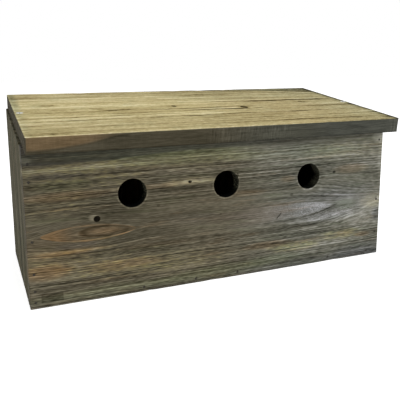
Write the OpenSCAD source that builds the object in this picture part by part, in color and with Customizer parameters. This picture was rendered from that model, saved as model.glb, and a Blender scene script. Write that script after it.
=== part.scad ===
// Sparrow terrace nest box: three nest chambers side by side under one sloping roof board.
// Millimetres. The origin is the middle of the base, +Z is up and the entrance holes face -Y.
// Every board butts against its neighbours and is nailed, and the roof is held by two screws.

/* [Box] */
// Width of the box across its front
box_w = 450; // [400:1:600]
// Depth of the box from the front face to the back face
box_d = 195; // [170:1:260]
// Height of the front face, up to the roof's underside
front_h = 171.5; // [150:0.5:240]

/* [Boards] */
// Thickness of the front board
front_t = 15; // [10:0.5:22]
// Thickness of the back board
back_t = 15; // [12:0.5:22]
// Thickness of each side panel
side_t = 15; // [11:0.5:22]
// Thickness of the floor board
floor_t = 15; // [10:0.5:22]
// Thickness of each partition
partition_t = 12; // [8:0.5:18]
// How much lower than the roof the side panels are cut at their front corner
side_gap = 3; // [0:0.5:5]

/* [Roof] */
// Thickness of the roof board
roof_t = 18; // [14:0.5:25]
// Slope of the roof in degrees, falling to the front
roof_slope = 7; // [3:0.5:15]
// How far the roof passes the front face, along its slope
roof_front = 28; // [10:1:60]
// How far each end of the roof stops short of the box's side
roof_inset = 2; // [0:0.5:3]
// Clearance between the roof and the boards that it lies on
roof_clear = 0.05; // [0.02:0.01:0.3]

/* [Entrance holes] */
// Diameter of each entrance hole
hole_d = 32; // [25:1:45]
// Height of the hole centres above the base
hole_z = 115; // [85:1:120]
// Distance from a partition's outer face to the centre of the hole beyond it
hole_beside = 34.5; // [25:0.5:80]

/* [Floor drains] */
// Diameter of each drainage hole
drain_d = 6; // [4:0.5:8]
// Distance of the drainage holes from the middle of the floor, front to back
drain_y = 35; // [20:1:38]

/* [Nails] */
// Length of each nail
nail_l = 35; // [30:1:40]
// Diameter of a nail's shank
nail_d = 1.8; // [1.2:0.1:2.6]
// Diameter of a nail's head
nail_head_d = 2.8; // [2.7:0.1:4]
// Thickness of a nail's head
nail_head_t = 0.8; // [0.4:0.1:1.5]
// Length of a nail's point
nail_point = 2.7; // [1.5:0.1:4]
// Depth of a nail's head below the wood
nail_sink = 0.7; // [0:0.1:1.5]
// Distance of the upright nail columns from the ends of the front and back boards
nail_in = 5.5; // [4:0.5:8]
// Heights of the lower nails in the left columns, above the base
left_low = [7, 19, 38, 73]; // [5:1:80]
// Depths of the upper nails in the left columns, below the top of their board
left_high = [16.5, 35.5]; // [10:0.5:50]
// Heights of the lower nails in the right columns, above the base
right_low = [31, 75]; // [5:1:80]
// Depths of the upper nails in the right columns, below the top of their board
right_high = [16.5]; // [10:0.5:50]
// Height above the base of the nails into the floor's edges
nail_up = 5; // [4:0.5:6]
// Distances of the bottom row's first nails from the floor board's left end
row_left = [108, 171, 225]; // [90:1:230]
// Distances of the bottom row's last nails from the floor board's right end
row_right = [65, 3]; // [3:1:85]
// Distance between the nails from a side panel into the floor
side_pitch = 50; // [30:1:55]
// Heights of the nails from the back board into a partition
partition_nails_z = [40, 95, 150]; // [30:1:155]
// Distance from the middle of the two nails from the floor into a partition
partition_nail_y = 40; // [20:1:60]

/* [Roof screws] */
// Length of each roof screw
screw_l = 40; // [35:1:50]
// Diameter of a roof screw's shank
screw_d = 4; // [3:0.1:5]
// Diameter of a roof screw's head
screw_head_d = 7.6; // [7:0.1:9]
// Length of a roof screw's point
screw_point = 5; // [3:0.5:7]
// Length of each slot of the cross in a roof screw's head
screw_cross_l = 3.6; // [3:0.1:4]
// Width of each slot of the cross in a roof screw's head
screw_cross_w = 1; // [0.7:0.1:1.3]
// Depth of the cross in a roof screw's head
screw_cross_h = 1.5; // [0.8:0.1:1.6]
// Distance of the roof screws from the roof's front edge, along its slope
screw_back = 110; // [80:1:140]
// Depth of a roof screw's head below the roof's top
screw_sink = 0.2; // [0:0.1:1]
// Radial clearance all round a roof screw
screw_clear = 0.08; // [0.02:0.01:0.1]

/* [Wall holes] */
// Diameter of the two holes through the back board for wall screws
wall_hole_d = 6; // [4:0.5:10]
// Distance of each wall hole from its end of the back board
wall_hole_in = 75; // [40:1:120]
// Height of the wall holes above the base
wall_hole_z = 150; // [60:1:160]

/* [Hidden] */

// Overlap that lets a cut pass clean through a face
cut = 1;
// Countersunk heads have a right angle between their sides
countersink = 0.5;
// Diameter of the blunt end on the point of each nail and screw
blunt = 0.5;

// The box's outer faces, and the faces that its inside stands against
side_x = box_w / 2;
front_y = -box_d / 2;
back_y = box_d / 2;
inner_x = side_x - side_t;
inner_front_y = front_y + front_t;
inner_back_y = back_y - back_t;
back_h = front_h + box_d * tan(roof_slope);

// Height of the roof's underside over a place on the Y axis
function under_roof(y) = front_h + (y - front_y) * tan(roof_slope);

// Three equal chambers between the side panels
chamber_w = (2 * inner_x - 2 * partition_t) / 3;
partition_x = (chamber_w + partition_t) / 2;
chamber_x = chamber_w + partition_t;
hole_x = chamber_w / 2 + partition_t + hole_beside;

// Where the wall holes stand, on both sides of the middle
wall_hole_x = side_x - wall_hole_in;

// The roof board's own size
roof_w = box_w - 2 * roof_inset;
roof_l = roof_front + box_d / cos(roof_slope);

// Where the nails stand
row_x = concat([for (d = row_left) d - inner_x], [for (d = row_right) inner_x - d]);
side_run = inner_back_y - inner_front_y;
side_count = floor((side_run - side_pitch) / side_pitch) + 1;
side_mid = (inner_front_y + inner_back_y) / 2;
side_y = [for (i = [0 : side_count - 1]) side_mid + (i - (side_count - 1) / 2) * side_pitch];
nail_x = side_x - nail_in;

// Colours, as the wood and the metal show them
roof_wood = [0.70, 0.64, 0.45];
front_wood = [0.38, 0.36, 0.28];
side_wood = [0.36, 0.37, 0.31];
inner_wood = [0.62, 0.54, 0.38];
bright_steel = [0.80, 0.81, 0.80];
dark_steel = [0.22, 0.21, 0.19];

// Heights of the left or right column of nails (s is -1 or 1) in a board of height h
function column(s, h) = s < 0 ? concat(left_low, [for (d = left_high) h - d])
    : concat(right_low, [for (d = right_high) h - d]);

// One nail driven down -Z into a face at z = 0, its head sunk and its tip pointed
module nail() {
    translate([0, 0, -nail_sink - nail_head_t])
        cylinder(h = nail_head_t, d = nail_head_d, $fn = 24);
    translate([0, 0, nail_point - nail_l])
        cylinder(h = nail_l - nail_sink - nail_head_t - nail_point, d = nail_d, $fn = 24);
    translate([0, 0, -nail_l])
        cylinder(h = nail_point, d1 = blunt, d2 = nail_d, $fn = 24);
}

// The hole that a nail leaves, open above its sunk head
module nail_hole() {
    nail();
    translate([0, 0, -nail_sink])
        cylinder(h = nail_sink + cut, d = nail_head_d, $fn = 24);
}

// Puts its children on each nail's place in a column or row, head outwards
module from_front(x, zs) {
    for (z = zs) translate([x, front_y, z]) rotate([90, 0, 0]) children();
}

module from_back(x, zs) {
    for (z = zs) translate([x, back_y, z]) rotate([-90, 0, 0]) children();
}

module from_side(s) {
    for (y = side_y) translate([s * side_x, y, nail_up]) rotate([0, s * 90, 0]) children();
}

module floor_row_front() {
    for (x = row_x) from_front(x, [nail_up]) children();
}

module floor_row_back() {
    for (x = row_x) from_back(-x, [nail_up]) children();
}

module back_into_partitions() {
    for (s = [-1, 1]) from_back(s * partition_x, partition_nails_z) children();
}

module floor_into_partitions() {
    for (s = [-1, 1], t = [-1, 1])
        translate([s * partition_x, t * partition_nail_y, 0]) rotate([180, 0, 0]) children();
}

// A board across the box's width w, cut from a profile of [y, z] points
module across(w, x, profile) {
    translate([x - w / 2, 0, 0]) rotate([90, 0, 90]) linear_extrude(height = w) polygon(profile);
}

// The profile of a board from y0 to y1 that stands at height z0 and meets the sloping roof
function to_roof(y0, y1, z0, drop0 = 0) =
    [[y0, z0], [y1, z0], [y1, under_roof(y1)], [y0, under_roof(y0) - drop0]];

// Moves its children to the roof board's own frame: X across, Y up the slope, Z out of the board
module on_roof() {
    translate([0, front_y, front_h]) rotate([roof_slope, 0, 0])
        translate([0, -roof_front, roof_clear]) children();
}

// A countersunk screw down -Z, its head's top at z = 0, grown all round by g
module screw_body(l, d, head_d, point, g) {
    head_t = (head_d - d) * countersink;
    translate([0, 0, -head_t])
        cylinder(h = head_t, d1 = d + 2 * g, d2 = head_d + 2 * g, $fn = 48);
    translate([0, 0, point - l])
        cylinder(h = l - head_t - point, d = d + 2 * g, $fn = 48);
    translate([0, 0, -l - g])
        cylinder(h = point + g, d1 = blunt + 2 * g, d2 = d + 2 * g, $fn = 48);
}

// The cross-shaped driver recess of a screw whose head's top is at z = 0
module cross_recess(l, w, h) {
    for (a = [0, 90]) rotate([0, 0, a])
        translate([-l / 2, -w / 2, -h]) cube([l, w, h + cut]);
}

module roof_screw_place(s) {
    on_roof() translate([s * (side_x - side_t / 2), screw_back, roof_t - screw_sink]) children();
}

module roof_screw_holes() {
    for (s = [-1, 1]) roof_screw_place(s) {
        screw_body(screw_l, screw_d, screw_head_d, screw_point, screw_clear);
        cylinder(h = screw_sink + cut, d = screw_head_d + 2 * screw_clear, $fn = 48);
    }
}

module roof_screw(s) {
    color(bright_steel) roof_screw_place(s) difference() {
        screw_body(screw_l, screw_d, screw_head_d, screw_point, 0);
        cross_recess(screw_cross_l, screw_cross_w, screw_cross_h);
    }
}

module roof() {
    color(roof_wood) difference() {
        on_roof() translate([-roof_w / 2, 0, 0]) cube([roof_w, roof_l, roof_t]);
        roof_screw_holes();
    }
}

module front_board() {
    color(front_wood) difference() {
        across(box_w, 0, to_roof(front_y, inner_front_y, 0));
        for (x = [-hole_x, 0, hole_x])
            translate([x, inner_front_y + cut, hole_z]) rotate([90, 0, 0])
                cylinder(h = front_t + 2 * cut, d = hole_d, $fn = 96);
        for (s = [-1, 1]) from_front(s * nail_x, column(s, front_h)) nail_hole();
        floor_row_front() nail_hole();
    }
}

module back_board() {
    color(side_wood) difference() {
        across(box_w, 0, to_roof(inner_back_y, back_y, 0));
        for (s = [-1, 1]) from_back(s * nail_x, column(s, back_h)) nail_hole();
        floor_row_back() nail_hole();
        back_into_partitions() nail_hole();
        for (s = [-1, 1])
            translate([s * wall_hole_x, inner_back_y - cut, wall_hole_z]) rotate([-90, 0, 0])
                cylinder(h = back_t + 2 * cut, d = wall_hole_d, $fn = 64);
    }
}

module side_panel(s) {
    color(side_wood) difference() {
        across(side_t, s * (side_x - side_t / 2), to_roof(inner_front_y, inner_back_y, 0, side_gap));
        from_front(s * nail_x, column(s, front_h)) nail_hole();
        from_back(s * nail_x, column(s, back_h)) nail_hole();
        from_side(s) nail_hole();
        roof_screw_holes();
    }
}

module side_left() {
    side_panel(-1);
}

module side_right() {
    side_panel(1);
}

module floor_board() {
    color(inner_wood) difference() {
        translate([-inner_x, inner_front_y, 0]) cube([2 * inner_x, side_run, floor_t]);
        for (x = [-chamber_x, 0, chamber_x], t = [-1, 1])
            translate([x, t * drain_y, -cut]) cylinder(h = floor_t + 2 * cut, d = drain_d, $fn = 48);
        floor_row_front() nail_hole();
        floor_row_back() nail_hole();
        for (s = [-1, 1]) from_side(s) nail_hole();
        floor_into_partitions() nail_hole();
    }
}

module partition(s) {
    color(inner_wood) difference() {
        across(partition_t, s * partition_x, to_roof(inner_front_y, inner_back_y, floor_t));
        back_into_partitions() nail_hole();
        floor_into_partitions() nail_hole();
    }
}

module partition_left() {
    partition(-1);
}

module partition_right() {
    partition(1);
}

module roof_screw_left() {
    roof_screw(-1);
}

module roof_screw_right() {
    roof_screw(1);
}

module front_nails_left() {
    color(dark_steel) from_front(-nail_x, column(-1, front_h)) nail();
}

module front_nails_right() {
    color(dark_steel) from_front(nail_x, column(1, front_h)) nail();
}

module front_nails_floor() {
    color(dark_steel) floor_row_front() nail();
}

module back_nails_left() {
    color(dark_steel) from_back(-nail_x, column(-1, back_h)) nail();
}

module back_nails_right() {
    color(dark_steel) from_back(nail_x, column(1, back_h)) nail();
}

module back_nails_floor() {
    color(dark_steel) floor_row_back() nail();
}

module side_nails_left() {
    color(dark_steel) from_side(-1) nail();
}

module side_nails_right() {
    color(dark_steel) from_side(1) nail();
}

module partition_nails_back() {
    color(dark_steel) back_into_partitions() nail();
}

module partition_nails_floor() {
    color(dark_steel) floor_into_partitions() nail();
}

roof();
front_board();
back_board();
side_left();
side_right();
floor_board();
partition_left();
partition_right();
roof_screw_left();
roof_screw_right();
front_nails_left();
front_nails_right();
front_nails_floor();
back_nails_left();
back_nails_right();
back_nails_floor();
side_nails_left();
side_nails_right();
partition_nails_back();
partition_nails_floor();
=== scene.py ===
import math
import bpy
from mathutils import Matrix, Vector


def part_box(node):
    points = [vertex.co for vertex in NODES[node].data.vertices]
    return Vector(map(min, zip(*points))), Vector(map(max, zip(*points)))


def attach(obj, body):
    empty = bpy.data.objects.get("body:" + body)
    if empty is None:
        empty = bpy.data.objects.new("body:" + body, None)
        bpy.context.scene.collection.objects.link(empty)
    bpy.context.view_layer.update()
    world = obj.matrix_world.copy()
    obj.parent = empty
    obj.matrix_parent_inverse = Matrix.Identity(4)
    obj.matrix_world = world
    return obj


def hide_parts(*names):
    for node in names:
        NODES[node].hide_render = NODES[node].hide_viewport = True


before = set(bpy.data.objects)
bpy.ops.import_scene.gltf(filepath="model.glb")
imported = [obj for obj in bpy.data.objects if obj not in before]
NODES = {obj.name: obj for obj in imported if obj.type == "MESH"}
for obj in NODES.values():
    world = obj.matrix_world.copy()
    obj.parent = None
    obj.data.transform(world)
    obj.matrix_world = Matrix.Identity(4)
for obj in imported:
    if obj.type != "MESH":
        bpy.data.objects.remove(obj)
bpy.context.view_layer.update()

from types import SimpleNamespace

import bpy
import numpy as np
from mathutils import Vector, noise

SCENE = bpy.context.scene
MM = 0.001

# Sizes in millimetres, as the part's source has them
BOX_W = 450.0
BOX_D = 195.0
FRONT_H = 171.5
BOARD_T = 15.0
INNER_D = BOX_D - 2 * BOARD_T
SIDE_DROP = 3.0
SLOPE = math.radians(7)
SLOPE_COS = math.cos(SLOPE)
SLOPE_SIN = math.sin(SLOPE)
ROOF_FRONT = 28.0
ROOF_CLEAR = 0.05
ROOF_W = 446.0
ROOF_L = round(ROOF_FRONT + BOX_D / SLOPE_COS, 3)
ROOF_T = 18.0
HOLE_STEP = BOX_W / 4
HOLE_X = (-HOLE_STEP, 0.0, HOLE_STEP)
HOLE_Z = 115.0
HOLE_R = 16.0
FRONT_Y = -BOX_D / 2

# Directions across a board, as ((x, y, z) factors, offset), that give millimetres from one of its sides
FROM_LEFT = ((1, 0, 0), BOX_W / 2)
FROM_RIGHT = ((-1, 0, 0), BOX_W / 2)
FROM_FRONT = ((0, 1, 0), BOX_D / 2)
FROM_BACK = ((0, -1, 0), BOX_D / 2)
UPWARD = ((0, 0, 1), 0.0)
ROOF_FROM_LEFT = ((1, 0, 0), ROOF_W / 2)
ROOF_UPWARD = ((0, SLOPE_COS, SLOPE_SIN), ROOF_FRONT - FRONT_Y * SLOPE_COS - FRONT_H * SLOPE_SIN)
ROOF_DOWNWARD = ((0, SLOPE_SIN, -SLOPE_COS), ROOF_T + ROOF_CLEAR - FRONT_Y * SLOPE_SIN + FRONT_H * SLOPE_COS)


# Camera, placed in metres as the photograph's own was

CAMERA_PLACE = (-0.26922, -0.67790, 0.25752)
CAMERA_AZIMUTH = math.radians(-23.549)
CAMERA_ELEVATION = math.radians(10.514)
CAMERA_LENS = 50.6
CAMERA_SENSOR = 36.0
CAMERA_SHIFT = (-0.0345, -0.09)


def add_object(name, data):
    made = bpy.data.objects.new(name, data)
    SCENE.collection.objects.link(made)
    return made


def look_along(made, way):
    """Turns a camera or a lamp to look along a direction."""
    made.rotation_mode = "QUATERNION"
    made.rotation_quaternion = way.to_track_quat("-Z", "Y")


def add_camera():
    lens = bpy.data.cameras.new("camera")
    lens.sensor_width = CAMERA_SENSOR
    lens.lens = CAMERA_LENS
    lens.shift_x, lens.shift_y = CAMERA_SHIFT
    lens.clip_start = 0.01
    lens.clip_end = 20.0
    camera = add_object("camera", lens)
    camera.location = CAMERA_PLACE
    level = math.cos(CAMERA_ELEVATION)
    across = -math.sin(CAMERA_AZIMUTH) * level
    ahead = math.cos(CAMERA_AZIMUTH) * level
    look_along(camera, Vector((across, ahead, -math.sin(CAMERA_ELEVATION))))
    SCENE.camera = camera


# Node trees

class Value:
    """An output socket that sums and products can be written with."""

    def __init__(self, graph, socket):
        self.graph = graph
        self.socket = socket

    def __add__(self, other):
        return self.graph.math("ADD", self, other)

    def __radd__(self, other):
        return self.graph.math("ADD", other, self)

    def __sub__(self, other):
        return self.graph.math("SUBTRACT", self, other)

    def __rsub__(self, other):
        return self.graph.math("SUBTRACT", other, self)

    def __mul__(self, other):
        return self.graph.math("MULTIPLY", self, other)

    def __truediv__(self, other):
        return self.graph.math("DIVIDE", self, other)


class Graph:
    """A node tree, of a material, a group or the world, and short ways to add to it."""

    def __init__(self, tree):
        self.tree = tree
        self.tree.nodes.clear()

    def feed(self, socket, given):
        if isinstance(given, Value):
            self.tree.links.new(given.socket, socket)
        elif given is not None:
            is_colour = hasattr(socket.default_value, "__len__") and len(socket.default_value) == 4
            socket.default_value = (*given, 1.0) if is_colour and len(given) == 3 else given

    def node(self, kind, inputs=(), **settings):
        made = self.tree.nodes.new(kind)
        for key, setting in settings.items():
            setattr(made, key, setting)
        for key, given in dict(inputs).items():
            self.feed(made.inputs[key], given)
        return made

    def value(self, kind, inputs=(), output=0, **settings):
        """One output of a new node."""
        return Value(self, self.node(kind, inputs, **settings).outputs[output])

    def math(self, operation, a, b=None):
        return self.value("ShaderNodeMath", {0: a, 1: b}, operation=operation)

    def abs(self, a):
        return self.math("ABSOLUTE", a)

    def exp(self, a):
        return self.math("EXPONENT", a)

    def high(self, a, b):
        return self.math("MAXIMUM", a, b)

    def low(self, a, b):
        return self.math("MINIMUM", a, b)

    def step(self, a, start, end, low, high):
        """A smooth step. It needs no clamp, and one more node for it would keep every value on the stack."""
        inputs = {0: a, 1: start, 2: end, 3: low, 4: high}
        return self.value("ShaderNodeMapRange", inputs, interpolation_type="SMOOTHSTEP", clamp=False)

    def smooth(self, a, start, end, low=0.0, high=1.0):
        """low before start, high after end, and a smooth step between them. start may be over end."""
        if start > end:
            return self.step(a, end, start, high, low)
        return self.step(a, start, end, low, high)

    def window(self, a, start, end, soft):
        """1 between start and end, 0 outside, with soft edges."""
        return self.smooth(a, start - soft, start + soft) * self.smooth(a, end + soft, end - soft)

    def noise(self, x, y, z, detail, rough):
        """Noise about 0, from about -0.5 to 0.5, at the place (x, y, z)."""
        place = self.value("ShaderNodeCombineXYZ", {0: x, 1: y, 2: z})
        inputs = {"Vector": place, "Scale": 1.0, "Detail": detail, "Roughness": rough, "Distortion": 0.0}
        return self.value("ShaderNodeTexNoise", inputs) - 0.5

    def mix(self, share, a, b, blend="MIX"):
        return self.value("ShaderNodeMix", {0: share, 6: a, 7: b}, 2, data_type="RGBA", blend_type=blend,
                          clamp_factor=True)

    def tint(self, colour, share, factors):
        """The colour, multiplied by the factors where share is 1."""
        return self.mix(share, colour, self.mix(1.0, colour, factors, "MULTIPLY"))

    def ramp(self, share, stops):
        """The colour at share, between stops that are (place, red, green, blue), as a display shows them."""
        made = self.node("ShaderNodeValToRGB", {0: share})
        elements = made.color_ramp.elements
        while len(elements) < len(stops):
            elements.new(0.5)
        for element, (place, *colour) in zip(elements, stops):
            element.position = place
            element.color = (*srgb(*colour), 1.0)
        return Value(self, made.outputs[0])

    def principled(self, **settings):
        inputs = {key.replace("_", " "): given for key, given in settings.items()}
        self.node("ShaderNodeOutputMaterial", {0: self.value("ShaderNodeBsdfPrincipled", inputs)})

    def use(self, group, *values):
        """The value of a node group for these inputs."""
        return self.value("ShaderNodeGroup", dict(enumerate(values)), node_tree=group)


def new_material(name):
    material = bpy.data.materials.new(name)
    material.use_nodes = True
    return material, Graph(material.node_tree)


def value_group(name, inputs, make):
    """A node group with these numbers as inputs, and as its output what make returns for them."""
    tree = bpy.data.node_groups.new(name, "ShaderNodeTree")
    for label in inputs.split():
        tree.interface.new_socket(label, in_out="INPUT", socket_type="NodeSocketFloat")
    tree.interface.new_socket("value", in_out="OUTPUT", socket_type="NodeSocketFloat")
    g = Graph(tree)
    given = [Value(g, socket) for socket in g.node("NodeGroupInput").outputs[:-1]]
    g.feed(g.node("NodeGroupOutput").inputs[0], make(g, *given))
    return tree


def srgb(*display):
    """The linear colour of a display colour from 0 to 255."""
    return tuple(c / 255 / 12.92 if c <= 10 else ((c / 255 + 0.055) / 1.055) ** 2.4 for c in display)


# Patterns of wood, where u runs along the grain, v across it and w into the board, all in millimetres

def board_place(g, axes):
    """u, v and w for a board whose three directions are given."""
    place = g.value("ShaderNodeTexCoord", output="Object")
    xyz = [Value(g, socket) for socket in g.node("ShaderNodeSeparateXYZ", {0: place}).outputs]
    out = []
    for factors, offset in axes:
        terms = [axis * (factor / MM) for axis, factor in zip(xyz, factors) if factor]
        out.append(sum(terms[1:], terms[0]) + offset)
    return out


def field(g, u, v, long, tall, seed, detail=1.0, rough=0.55, w=None):
    """Noise about 0 in shapes of about long by tall millimetres. Given w, it changes with the depth too."""
    return g.noise(u / long, v / tall, seed if w is None else w / tall + seed, detail, rough)


def streak_value(g, total, u, v, v0, slope, u0, u1, half, strength):
    away = g.abs(v - v0 - (u - u0) * slope)
    profile = g.step(away, half * 0.2, half, strength, 0.0)
    soft = g.low((u1 - u0) * 0.25, 12.0)
    within = g.step(u, u0 - soft, u0 + soft, 0.0, 1.0) * g.step(u, u1 - soft, u1 + soft, 1.0, 0.0)
    return total + profile * within


def patch_value(g, total, u, v, u0, v0, half_u, half_v, strength, hard):
    du = (u - u0) / half_u
    dv = (v - v0) / half_v
    return total + g.step(du * du + dv * dv, hard, 1.0, strength, 0.0)


STREAK = value_group("streak", "total u v v0 slope u0 u1 half strength", streak_value)
PATCH = value_group("patch", "total u v u0 v0 half_u half_v strength hard", patch_value)


def streaks(g, u, v, rows):
    """The sum of listed grain lines: (v, slope, first u, last u, half width, strength)."""
    total = 0.0
    for row in rows:
        total = g.use(STREAK, total, u, v, *row)
    return total


def patches(g, u, v, rows, hard=0.0):
    """The sum of soft oval patches: (u, v, half length, half height, strength)."""
    total = 0.0
    for row in rows:
        total = g.use(PATCH, total, u, v, *row, hard)
    return total


def knot(g, u, v, u0, v0, half_u, half_v, strength, heart=0.5):
    """How dark a knot is here: a dark ring round a heart that is paler by the share heart."""
    du = (u - u0) / half_u
    dv = (v - v0) / half_v
    away = du * du + dv * dv
    return g.smooth(away, 1.35, 0.75, 0.0, strength) - g.smooth(away, 0.55, 0.1, 0.0, strength * heart)


def part_round(g, u, v, knots):
    """v with the grain parted round each knot, given as (u, v, reach)."""
    flow = v
    for u0, v0, reach in knots:
        du = (u - u0) / (2.0 * reach)
        dv = (v - v0) / reach
        flow = flow - (v - v0) * g.exp((du * du + dv * dv) * -1.0) * 0.75
    return flow


def path(g, u, points, reach=BOX_W, height=180.0):
    """The height of a smooth curve at u, through given (u, v) points."""
    made = g.node("ShaderNodeFloatCurve", {"Value": u / reach})
    curve = made.mapping.curves[0]
    while len(curve.points) < len(points):
        curve.points.new(0.5, 0.5)
    for point, (point_u, point_v) in zip(curve.points, points):
        point.location = (point_u / reach, point_v / height)
    made.mapping.update()
    return Value(g, made.outputs[0]) * height


def path_lines(g, u, v, rows):
    """The sum of grain lines along paths: (half width, strength, points)."""
    total = 0.0
    for half, strength, points in rows:
        first, last = points[0][0], points[-1][0]
        profile = g.smooth(g.abs(v - path(g, u, points)), half, 0.2 * half, 0.0, strength)
        total = total + profile * g.window(u, first, last, min(10.0, 0.2 * (last - first)))
    return total


def grain(g, u, v, w, seed, fine=1.0, broad=0.55):
    """Lines that run side by side along the grain and fade in and out, over short fur, all about 0."""
    rings = field(g, u, v, 400, 3, seed, 1.0, 0.8, w)
    thin = field(g, u, v, 240, 1.3, seed + 2.0, 0.0, w=w)
    fade = field(g, u, v, 45, 4, seed + 7.0, w=w) * 3.0 + 1.0
    fur = field(g, u, v, 11, 1.1, seed + 9.0, 1.0, 0.8, w)
    wide = field(g, u, v, 200, 12, seed + 5.0, w=w)
    lines = g.high((rings * 0.29 + thin * 0.58) * fade, -0.12)
    return lines * fine + fur * (0.85 * fine) + wide * broad


def relief(g, u, v, w, seed):
    """The surface's own relief: soft early wood worn lower than late wood, and saw fur."""
    lines = field(g, u, v, 90, 1.6, seed, 3.0, 0.6, w)
    fur = field(g, u, v, 6, 0.35, seed + 3.0, 2.0, 0.7, w)
    inputs = {"Strength": 0.6, "Distance": 0.25 * MM, "Height": lines * 0.7 + fur * 0.3}
    return g.value("ShaderNodeBump", inputs)


def wood_shader(g, colour, rough, normal, specular=0.02):
    g.principled(Base_Color=colour, Roughness=rough, Normal=normal, Specular_IOR_Level=specular)


# Weathered stain from dark to light, on the warm left of the front and on its cool right
WARM = [(0.0, 32, 28, 20), (0.2, 61, 57, 44), (0.4, 90, 84, 69), (0.6, 119, 112, 94), (0.8, 149, 142, 120),
        (1.0, 180, 174, 152)]
COOL = [(0.0, 31, 32, 28), (0.2, 61, 61, 53), (0.4, 91, 90, 79), (0.6, 120, 119, 107), (0.8, 150, 148, 138),
        (1.0, 181, 179, 170)]
# Factors that turn the stain's hue
BROWNER = (1.42, 1.02, 0.72)
YELLOWER = (1.08, 1.05, 0.78)
GREENER = (0.90, 1.04, 0.84)
BLUER = (0.96, 1.0, 1.22)


# Front board: u runs from its left end, v up from the base and w in from its face

LEFT_KNOT = (72.8, 90.5)
MIDDLE_KNOT = (179.4, 121.8)
EYE_U = 64.5
EYE_V = 76.2
EDGE_KNOT_V = 77.0

# Grain lines: a strength over 0 is a light line, one under 0 a dark one
FRONT_LINES = [
    (150.2, 0, 4, 95, 2.4, 0.14), (146.4, 0, 8, 80, 1, 0.08), (142.2, 0, 42, 75, 1, 0.12),
    (134, 0, 14, 70, 1.5, 0.26), (136, 0, 68, 112, 1.2, 0.13), (124.8, 0, 3, 62, 1.1, 0.2),
    (104.2, -0.01, 60, 104, 0.9, 0.12), (93.2, -0.055, 5, 64, 1.1, 0.2), (87.4, 0, 115, 240, 1, 0.07),
    (57.3, 0, 4, 70, 3.2, 0.13), (29, 0, 4, 150, 1.3, 0.17), (22.6, -0.004, 6, 150, 1.5, 0.2),
    (21.6, -0.002, 140, 240, 3.6, 0.17), (15.8, 0, 70, 235, 1.4, 0.15), (8.5, 0, 48, 118, 2.4, 0.09),
    (6, 0, 150, 205, 2.6, 0.06), (150.2, 0, 150, 240, 1.4, 0.13), (142, 0, 108, 190, 1.5, 0.12),
    (132.3, 0, 132, 210, 1.4, 0.11), (121.7, 0, 150, 212, 4.2, 0.24), (126.2, 0, 150, 200, 0.9, 0.1),
    (155, 0, 228, 440, 2.6, 0.1), (132.3, 0, 262, 400, 1.1, 0.09), (125.8, 0, 238, 318, 1.1, 0.13),
    (108.2, 0, 248, 318, 1.1, 0.13), (56.5, 0, 242, 318, 1.5, 0.07), (45, 0, 342, 446, 1.2, 0.12),
    (27, -0.02, 292, 362, 2.2, 0.32), (31, 0, 330, 412, 1.5, 0.22), (36, -0.03, 352, 412, 1.9, 0.24),
    (23, 0, 312, 400, 1.6, 0.18), (34.5, 0, 290, 335, 1.2, 0.14), (18.5, 0, 248, 350, 2, 0.07),
    (114.5, 0, 330, 440, 1.4, 0.06), (9, 0, 300, 420, 1.6, 0.05), (140.6, 0, 6, 55, 2.6, -0.12),
    (129.8, 0, 6, 66, 3, -0.12), (118, 0, 45, 96, 1.5, -0.2), (119.5, 0, 0, 50, 2.6, -0.05),
    (113.5, 0, 0, 90, 1.6, -0.1), (104.2, 0, 44, 58, 0.9, -0.16), (103, -0.02, 78, 92, 1.3, -0.3),
    (99, 0, 0, 110, 4, -0.05), (81.5, 0, 0, 14, 5, -0.06), (61.2, 0, 108, 180, 0.9, -0.13),
    (62.8, 0.01, 150, 176, 0.7, -0.12), (53, 0, 60, 225, 2.4, -0.07), (39.2, 0, 138, 262, 1.5, -0.19),
    (43, 0, 60, 150, 1.1, -0.07), (25, 0, 8, 62, 1.4, -0.13), (19.6, 0, 6, 150, 1.3, -0.14),
    (117.2, 0, 132, 158, 1.6, -0.2), (115.2, -0.02, 158, 212, 1.5, -0.2), (98.6, 0, 146, 163, 0.9, -0.18),
    (93, 0, 110, 230, 2.6, -0.03), (136.5, 0, 170, 225, 1.5, -0.1), (1.2, 0, 0, 450, 1.6, -0.15),
    (148, 0.004, 255, 345, 1.4, -0.14), (139.2, 0, 214, 250, 1.9, -0.24), (142.3, 0, 322, 444, 2, -0.1),
    (130, 0, 355, 412, 1.4, -0.12), (119, 0, 240, 318, 2.2, -0.08), (113, 0, 240, 330, 1.4, -0.07),
    (102.5, 0, 240, 318, 1.6, -0.07), (48, 0, 270, 312, 2.2, -0.13), (33.4, 0, 262, 322, 3, -0.22),
    (37.5, 0, 225, 300, 1.5, -0.12), (50, 0, 330, 400, 1.5, -0.07), (40.5, 0, 330, 376, 1.8, -0.1),
    (22.5, 0, 225, 290, 1.4, -0.12), (13, 0, 225, 450, 2.4, -0.07), (5, 0, 370, 450, 3.4, -0.09),
    (153, 0, 360, 420, 0.9, -0.12)]
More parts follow.
